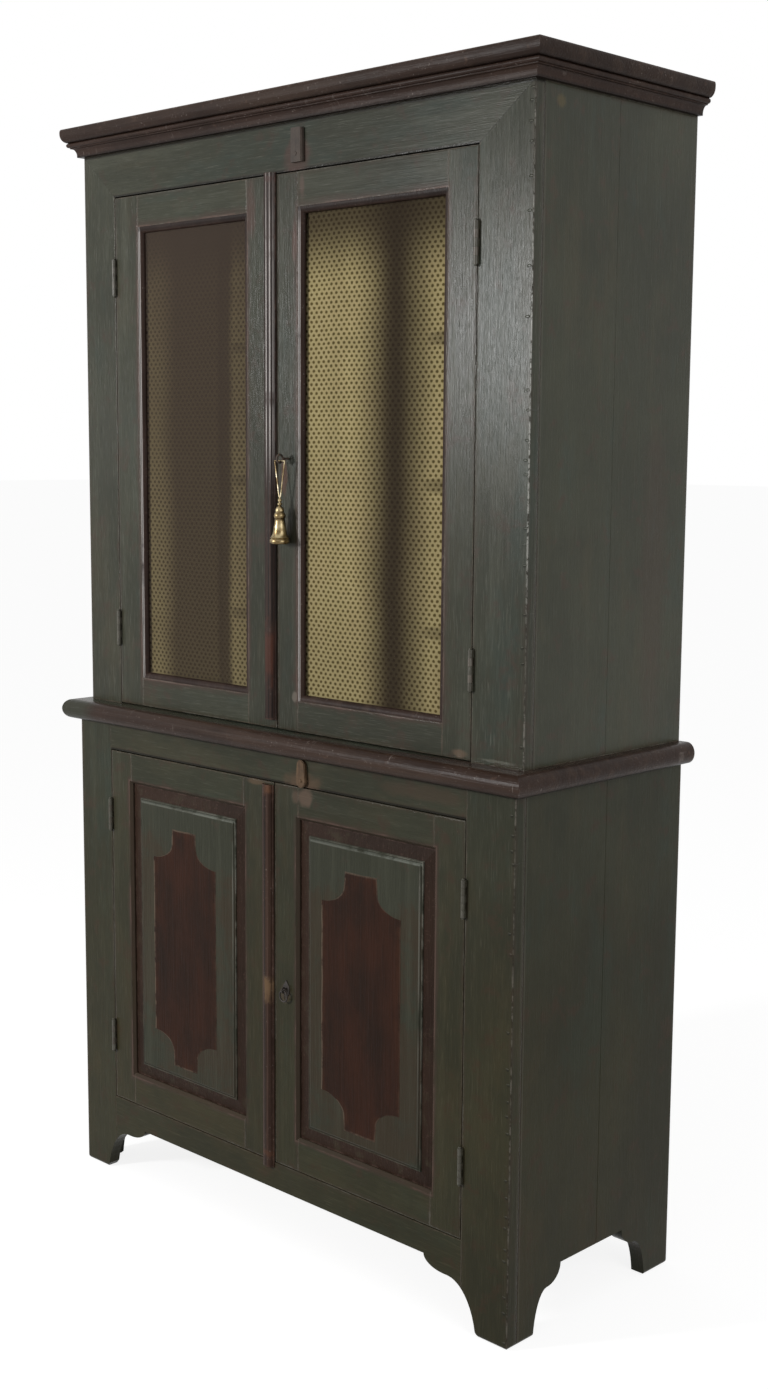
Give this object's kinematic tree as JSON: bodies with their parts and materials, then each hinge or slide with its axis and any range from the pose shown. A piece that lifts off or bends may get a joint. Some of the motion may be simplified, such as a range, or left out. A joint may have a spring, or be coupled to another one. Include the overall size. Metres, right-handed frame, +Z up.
{
  "type": "display cabinet",
  "caption": "Two-part display cupboard: raised-panel doors on a bracket-footed base, glazed and curtained doors above, moulded waist and cornice.",
  "frame": {"origin": "middle of the overall box, on the floor", "axes": "+X to the right along the front, -Y out of the front, +Z up"},
  "size_m": [1.206, 0.484, 2.1],
  "materials": {
    "green_paint": "old dark grey-green paint, semi-gloss, worn",
    "maroon_paint": "old dark maroon paint, semi-gloss, smeared at its edges",
    "bare_wood": "bare aged softwood",
    "old_iron": "dark iron, partly painted over and rusty",
    "brass": "worn brass",
    "glass": "clear old sheet glass",
    "cloth": "stretched printed cotton"
  },
  "bodies": {
    "carcase": {"base_side_left": "green_paint", "base_side_right": "green_paint", "base_stile_left": "green_paint", "base_stile_right": "green_paint", "base_top_rail": "green_paint", "base_apron": "green_paint", "base_floor": "bare_wood", "base_shelf": "bare_wood", "waist_board": "green_paint", "waist_nosing": "maroon_paint", "case_side_left": "green_paint", "case_side_right": "green_paint", "case_stile_left": "green_paint", "case_stile_right": "green_paint", "case_top_rail": "green_paint", "case_floor": "bare_wood", "case_shelves": "bare_wood", "back_boards": "bare_wood", "cornice_board": "maroon_paint", "cornice_moulding": "maroon_paint", "frame_hinge_leaves": "old_iron"},
    "upper_left_door": {"upper_left_hinge_stile": "green_paint", "upper_left_closing_stile": "green_paint", "upper_left_top_rail": "green_paint", "upper_left_bottom_rail": "green_paint", "upper_left_glass": "glass", "upper_left_cloth": "cloth", "upper_left_beads": "maroon_paint", "upper_left_hinge_leaves": "old_iron", "upper_astragal": "maroon_paint"},
    "upper_right_door": {"upper_right_hinge_stile": "green_paint", "upper_right_closing_stile": "green_paint", "upper_right_top_rail": "green_paint", "upper_right_bottom_rail": "green_paint", "upper_right_glass": "glass", "upper_right_cloth": "cloth", "upper_right_beads": "maroon_paint", "upper_right_hinge_leaves": "old_iron", "pull_eye": "old_iron"},
    "lower_left_door": {"lower_left_hinge_stile": "green_paint", "lower_left_closing_stile": "green_paint", "lower_left_top_rail": "green_paint", "lower_left_bottom_rail": "green_paint", "lower_left_panel": "green_paint", "lower_left_hinge_leaves": "old_iron", "lower_astragal": "maroon_paint"},
    "lower_right_door": {"lower_right_hinge_stile": "green_paint", "lower_right_closing_stile": "green_paint", "lower_right_top_rail": "green_paint", "lower_right_bottom_rail": "green_paint", "lower_right_panel": "green_paint", "lower_right_hinge_leaves": "old_iron", "ring_staple": "old_iron"},
    "upper_left_bolt": {"upper_bolt": "old_iron"},
    "lower_left_bolt": {"lower_bolt": "old_iron"},
    "upper_turn_button": {"upper_button": "bare_wood"},
    "lower_turn_button": {"lower_button": "old_iron"},
    "brass_pull": {"pull_wire": "brass", "pull_drop": "brass"},
    "iron_ring": {"ring_pull": "old_iron"}
  },
  "joints": [
    {"name": "upper_left_door_hinge", "type": "hinge", "parent": "carcase", "child": "upper_left_door", "pos_m": [-0.474, -0.1932, 1.473], "axis": [0, 0, -1], "range_deg": [0, 170]},
    {"name": "upper_right_door_hinge", "type": "hinge", "parent": "carcase", "child": "upper_right_door", "pos_m": [0.456, -0.1932, 1.473], "axis": [0, 0, 1], "range_deg": [0, 170]},
    {"name": "lower_left_door_hinge", "type": "hinge", "parent": "carcase", "child": "lower_left_door", "pos_m": [-0.477, -0.2182, 0.524], "axis": [0, 0, -1], "range_deg": [0, 170]},
    {"name": "lower_right_door_hinge", "type": "hinge", "parent": "carcase", "child": "lower_right_door", "pos_m": [0.4695, -0.2182, 0.524], "axis": [0, 0, 1], "range_deg": [0, 170]},
    {"name": "upper_button_turn", "type": "hinge", "parent": "carcase", "child": "upper_turn_button", "pos_m": [0.043, -0.192, 1.99], "axis": [0, 1, 0], "range_deg": [0, 180]},
    {"name": "lower_button_turn", "type": "hinge", "parent": "carcase", "child": "lower_turn_button", "pos_m": [0.081, -0.217, 0.899], "axis": [0, 1, 0], "range_deg": [0, 180]},
    {"name": "upper_bolt_slide", "type": "slide", "parent": "upper_left_door", "child": "upper_left_bolt", "axis": [0, 0, 1], "range_m": [0, 0.013]},
    {"name": "lower_bolt_slide", "type": "slide", "parent": "lower_left_door", "child": "lower_left_bolt", "axis": [0, 0, 1], "range_m": [0, 0.013]},
    {"name": "pull_swing", "type": "hinge", "parent": "upper_right_door", "child": "brass_pull", "pos_m": [0.016, -0.209, 1.4648], "axis": [-1, 0, 0], "range_deg": [0, 75]},
    {"name": "ring_swing", "type": "hinge", "parent": "lower_right_door", "child": "iron_ring", "pos_m": [0.038, -0.222, 0.5025], "axis": [-1, 0, 0], "range_deg": [0, 75]}
  ]
}
